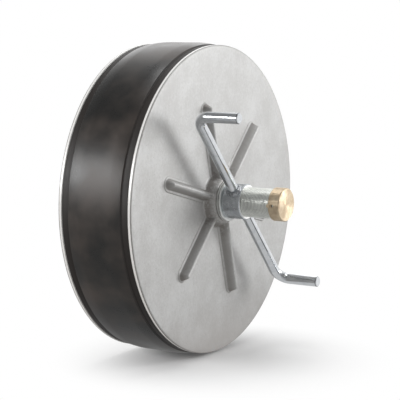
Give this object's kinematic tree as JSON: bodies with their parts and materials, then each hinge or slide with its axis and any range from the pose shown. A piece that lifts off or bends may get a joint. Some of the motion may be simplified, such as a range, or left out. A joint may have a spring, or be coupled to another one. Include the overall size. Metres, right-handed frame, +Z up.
{
  "type": "pipe expansion plug",
  "caption": "Round plug for a pipe: a rubber ring squeezed between ribbed metal plates by a crank nut on a threaded through tube with a brass cap.",
  "frame": {"origin": "middle of the rubber ring, on the tube's axis", "axes": "+X along the tube, outward towards the handle; +Z up as the plug sits in a level pipe"},
  "size_m": [0.1517, 0.294, 0.294],
  "materials": {
    "plate": "matte cast surface",
    "rubber": "satin",
    "zinc": "bright zinc plate",
    "weld": "rough bead under zinc plate",
    "brass": "turned"
  },
  "bodies": {
    "core": {"back_plate": "plate", "threaded_tube": "zinc", "back_weld": "weld", "sealing_ring": "rubber"},
    "front": {"front_plate": "plate", "inner_washer": "zinc", "outer_washer": "zinc"},
    "handle": {"nut_hub": "zinc", "upper_arm": "zinc", "lower_arm": "zinc", "upper_weld": "weld", "lower_weld": "weld"},
    "seal": {"cap_gasket": "rubber"},
    "cap": {"end_cap": "brass"}
  },
  "joints": [
    {"name": "front_slide", "type": "slide", "parent": "core", "child": "front", "axis": [-1, 0, 0], "range_m": [0, 0.006], "deforming": ["sealing_ring"]},
    {"name": "nut_turn", "type": "hinge", "parent": "front", "child": "handle", "pos_m": [0.0625, 0, 0], "axis": [-1, 0, 0], "range_deg": [0, 1440]},
    {"name": "cap_slide", "type": "slide", "parent": "core", "child": "seal", "axis": [1, 0, 0], "range_m": [0, 0.009]},
    {"name": "cap_turn", "type": "hinge", "parent": "seal", "child": "cap", "pos_m": [0.107, 0, 0], "axis": [1, 0, 0], "range_deg": [0, 2160]}
  ],
  "couplings": [
    {"joint": "front_slide", "follows": "nut_turn", "m_per_rad": 0.0002387},
    {"joint": "cap_slide", "follows": "cap_turn", "m_per_rad": 0.0002387}
  ]
}
